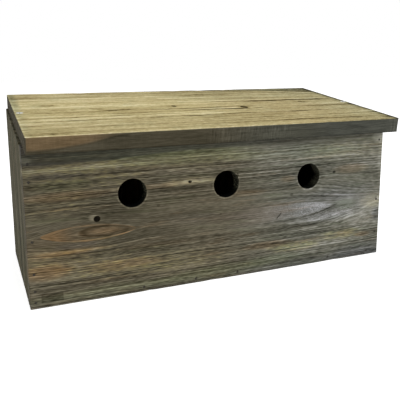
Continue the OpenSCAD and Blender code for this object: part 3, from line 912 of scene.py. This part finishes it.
def finish_board(made, node, body, material, worn=None, left=None):
    """Cuts the board as its CAD solid is cut, so that every hole is where the solid has it, and dresses it.
    Before that the solids worn come off it, and after it the fibres left standing are added."""
    if worn is not None:
        apply_boolean(made, mesh_object("cutter", *worn), "DIFFERENCE")
    apply_boolean(made, add_object("cutter", NODES[node].data.copy()), "INTERSECT")
    if left is not None:
        apply_boolean(made, mesh_object("cutter", *left), "UNION")
    made.data.materials.clear()
    made.data.materials.append(material)
    for polygon in made.data.polygons:
        polygon.material_index = 0
        polygon.use_smooth = True
    made.data.set_sharp_from_angle(angle=SHARP_FROM)
    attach(made, body)
    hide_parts(node)


def roof_height(y):
    """Height of the roof's line, on which the front, the back and the partitions end."""
    return FRONT_H + (y - FRONT_Y) * math.tan(SLOPE)


def side_top(y):
    """Height of a side panel's top: the roof's line less a drop that grows from the back to the front."""
    return roof_height(y) - SIDE_DROP * (INNER_D / 2 - y) / INNER_D


def upright_board(name, node, material, steps, seed, top=None, worn=None, left=None):
    """A board that stands in its CAD node's box. Given top, its top is at the height top(y)."""
    low, high = (np.array(corner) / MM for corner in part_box(node))
    points, quads = worn_box(high - low, steps, BLUNT, seed)
    points += low
    if top is not None:
        tall = top(points[:, 1]) - low[2]
        points[:, 2] = low[2] + (points[:, 2] - low[2]) * tall / (high[2] - low[2])
    finish_board(mesh_object(name, points, quads), node, "box", material, worn, left)


def roof_board():
    """The roof, laid on the slope just clear of the boards under it."""
    points, quads = worn_box((ROOF_W, ROOF_L, ROOF_T), (3.0, 3.0, 4.5), BLUNT_ROOF, 9, 24)
    x, y, z = (points - (ROOF_W / 2, ROOF_FRONT, -ROOF_CLEAR)).T
    ahead = FRONT_Y + y * SLOPE_COS - z * SLOPE_SIN
    up = FRONT_H + y * SLOPE_SIN + z * SLOPE_COS
    made = mesh_object("roof_panel", np.stack([x, ahead, up], -1), quads)
    finish_board(made, "roof", "lid", roof_material())


# The rims of the entrance holes

INWARD = np.array([0.0, 1.0, 0.0])
RIM_TURNS = 144
# For each hole, the places where its rim is torn: (angle in degrees, spread, extra radius)
RIM_TEARS = (((5, 14, 0.5), (60, 10, 0.4)),
             ((32, 9, 2.2), (50, 6, 0.8), (-40, 10, 0.6)),
             ((25, 12, 0.5), (-60, 14, 0.4)))


def rim_cutter(x, seed, tears):
    """A plug wider than an entrance hole at the face and narrower inside, which wears the rim unevenly."""
    points, quads = [], []
    for k in range(RIM_TURNS):
        angle = 2 * math.pi * k / RIM_TURNS
        way = Vector((math.cos(angle), math.sin(angle), seed))
        wear = 0.30 + 0.22 * noise.fractal(way * 2.5, 1.0, 2.0, 3)
        depth = 1.2 + 0.5 * noise.noise(way * 3.0)
        for place, spread, extra in tears:
            off = (math.degrees(angle) - place + 180) % 360 - 180
            wear += extra * math.exp(-(off / spread) ** 2) * (0.7 + 0.6 * noise.noise(way * 9.0))
        for radius, inward in ((HOLE_R + wear + 0.9 * wear / depth, -0.9), (HOLE_R + wear, 0.0),
                               (HOLE_R + 0.30 * wear, 0.4 * depth), (HOLE_R - 0.4, 1.3 * depth)):
            points.append((x + radius * math.cos(angle), FRONT_Y + inward, HOLE_Z + radius * math.sin(angle)))
    for k in range(RIM_TURNS):
        a = 4 * k
        b = 4 * ((k + 1) % RIM_TURNS)
        quads += [(a + ring, a + ring + 1, b + ring + 1, b + ring) for ring in range(3)]
    quads.append([4 * k for k in range(RIM_TURNS)])
    quads.append([4 * k + 3 for k in reversed(range(RIM_TURNS))])
    return points, quads


def splinters(x, seed, count, first, last, reach):
    """Thin fibres left standing on the wall of a hole, between two angles in degrees."""
    rng = np.random.default_rng(seed)
    points, faces = [], []
    for _ in range(count):
        angle = math.radians(rng.uniform(first, last))
        out = np.array([math.cos(angle), 0.0, math.sin(angle)])
        side = np.array([-out[2], 0.0, out[0]])
        foot = np.array([x, FRONT_Y, HOLE_Z]) + out * (HOLE_R + 0.5) + INWARD * rng.uniform(2.0, 11.0)
        half = rng.uniform(0.25, 0.6)
        long = rng.uniform(1.2, 3.0)
        tip = foot - out * (0.5 + reach * rng.uniform(0.4, 1.0)) - INWARD * rng.uniform(0.5, 2.5)
        tip = tip + side * rng.uniform(-0.8, 0.8)
        start = len(points)
        points += [foot - side * half, foot + side * half, foot + INWARD * long, tip]
        faces += [tuple(start + k for k in face) for face in ((0, 2, 1), (0, 1, 3), (1, 2, 3), (2, 0, 3))]
    return points, faces


def joined(parts):
    """One set of points and faces of several."""
    points, faces = [], []
    for some_points, some_faces in parts:
        faces += [[k + len(points) for k in face] for face in some_faces]
        points += some_points
    return points, faces


# Pieces

rims = joined([rim_cutter(x, seed, torn) for seed, (x, torn) in enumerate(zip(HOLE_X, RIM_TEARS), 1)])
fibres = joined([splinters(HOLE_X[0], 5, 3, -12, 24, 1.2), splinters(HOLE_X[1], 6, 13, -52, 42, 1.5)])
upright_board("front_panel", "front_board", front_material(), (3.0, 3.0, 4.0), 1, roof_height,
              rims, fibres)
back_wood = side_material("back_wood", (FROM_RIGHT, UPWARD, FROM_BACK), 41.0)
# The left side's wood is set 0.02 darker than the other sides as painted shade
left_wood = side_material("left_wood", (UPWARD, FROM_FRONT, FROM_LEFT), 51.0, -0.02)
right_wood = side_material("right_wood", (UPWARD, FROM_FRONT, FROM_RIGHT), 61.0)
floor_wood = inner_material("floor_wood", (FROM_LEFT, FROM_FRONT, UPWARD), 71.0)
upright_board("back_panel", "back_board", back_wood, (4.0, 4.0, 4.0), 2, roof_height)
upright_board("left_panel", "side_left", left_wood, (4.0, 3.0, 3.0), 3, side_top)
upright_board("right_panel", "side_right", right_wood, (4.0, 3.0, 3.0), 4, side_top)
upright_board("floor_panel", "floor_board", floor_wood, (5.0, 5.0, 4.0), 5)
for k, side in enumerate(("left", "right")):
    wood = inner_material(f"partition_wood_{side}", (UPWARD, FROM_FRONT, FROM_LEFT), 81.0 + 9 * k)
    upright_board(f"partition_panel_{side}", f"partition_{side}", wood, (4.0, 5.0, 5.0), 6 + k,
                  roof_height)
roof_board()

nail_steel = steel_material("nail_steel", (30, 27, 22), (66, 60, 50), 0.5, 0.4)
screw_steel = steel_material("screw_steel", (176, 178, 170), (226, 228, 222), 0.22, 1.0, (58, 60, 46))
for name, node in NODES.items():
    if "nails" in name or "screw" in name:
        node.data.materials.clear()
        node.data.materials.append(screw_steel if "screw" in name else nail_steel)


# Floor and light, in metres and watts

FLOOR_REACH = 6.0
FLOOR_Z = -0.5 * MM
FLOOR_WHITE = 0.86
FLOOR_GLOW = 0.72
SOFT_LIGHT = 0.55


def seen_directly(g):
    """1 for what the camera, a reflection or a clear body sees, and 0 for light on its way to the object."""
    ray = g.node("ShaderNodeLightPath")
    kinds = ("Is Camera Ray", "Is Glossy Ray", "Is Transmission Ray")
    camera, glossy, through = (Value(g, ray.outputs[kind]) for kind in kinds)
    return g.high(g.high(camera, glossy), through)


def add_floor():
    """A floor that looks white, but is clear from underneath and to the underside that stands on it, so that
    a view from below shows the object lit."""
    mesh = bpy.data.meshes.new("floor")
    corners = ((-1, -1), (1, -1), (1, 1), (-1, 1))
    mesh.from_pydata([(x * FLOOR_REACH, y * FLOOR_REACH, FLOOR_Z) for x, y in corners], [], [(0, 1, 2, 3)])
    floor = add_object("floor", mesh)
    material, g = new_material("floor")
    diffuse = g.value("ShaderNodeBsdfDiffuse", {0: (FLOOR_WHITE,) * 3})
    glow = g.value("ShaderNodeEmission", {"Strength": seen_directly(g) * FLOOR_GLOW})
    white = g.value("ShaderNodeAddShader", {0: diffuse, 1: glow})
    close = g.math("LESS_THAN", g.value("ShaderNodeLightPath", output="Ray Length"), MM)
    below = g.high(g.value("ShaderNodeNewGeometry", output="Backfacing"), close)
    clear = g.value("ShaderNodeBsdfTransparent")
    g.node("ShaderNodeOutputMaterial", {0: g.value("ShaderNodeMixShader", {0: below, 1: white, 2: clear})})
    mesh.materials.append(material)


def add_world():
    """Soft light from all round, which is plain white where it is seen directly."""
    world = bpy.data.worlds.new("studio")
    SCENE.world = world
    world.use_nodes = True
    g = Graph(world.node_tree)
    soft = g.value("ShaderNodeBackground", {"Color": (1, 1, 1), "Strength": SOFT_LIGHT})
    white = g.value("ShaderNodeBackground", {"Color": (1, 1, 1), "Strength": 1.0})
    chosen = g.value("ShaderNodeMixShader", {0: seen_directly(g), 1: soft, 2: white})
    g.node("ShaderNodeOutputWorld", {0: chosen})


def add_lamp(name, place, size, power):
    """A square lamp that shines on the box."""
    light = bpy.data.lights.new(name, "AREA")
    light.shape = "RECTANGLE"
    light.size = size
    light.size_y = size
    light.energy = power
    made = add_object(name, light)
    made.location = place
    look_along(made, Vector((0, 0, 0.1)) - Vector(place))


add_floor()
add_world()
add_lamp("key", (0.5, -1.0, 1.9), 1.2, 20)
add_lamp("fill", (0.7, -2.0, 0.7), 1.4, 6)
add_camera()
SCENE.view_settings.view_transform = "Standard"
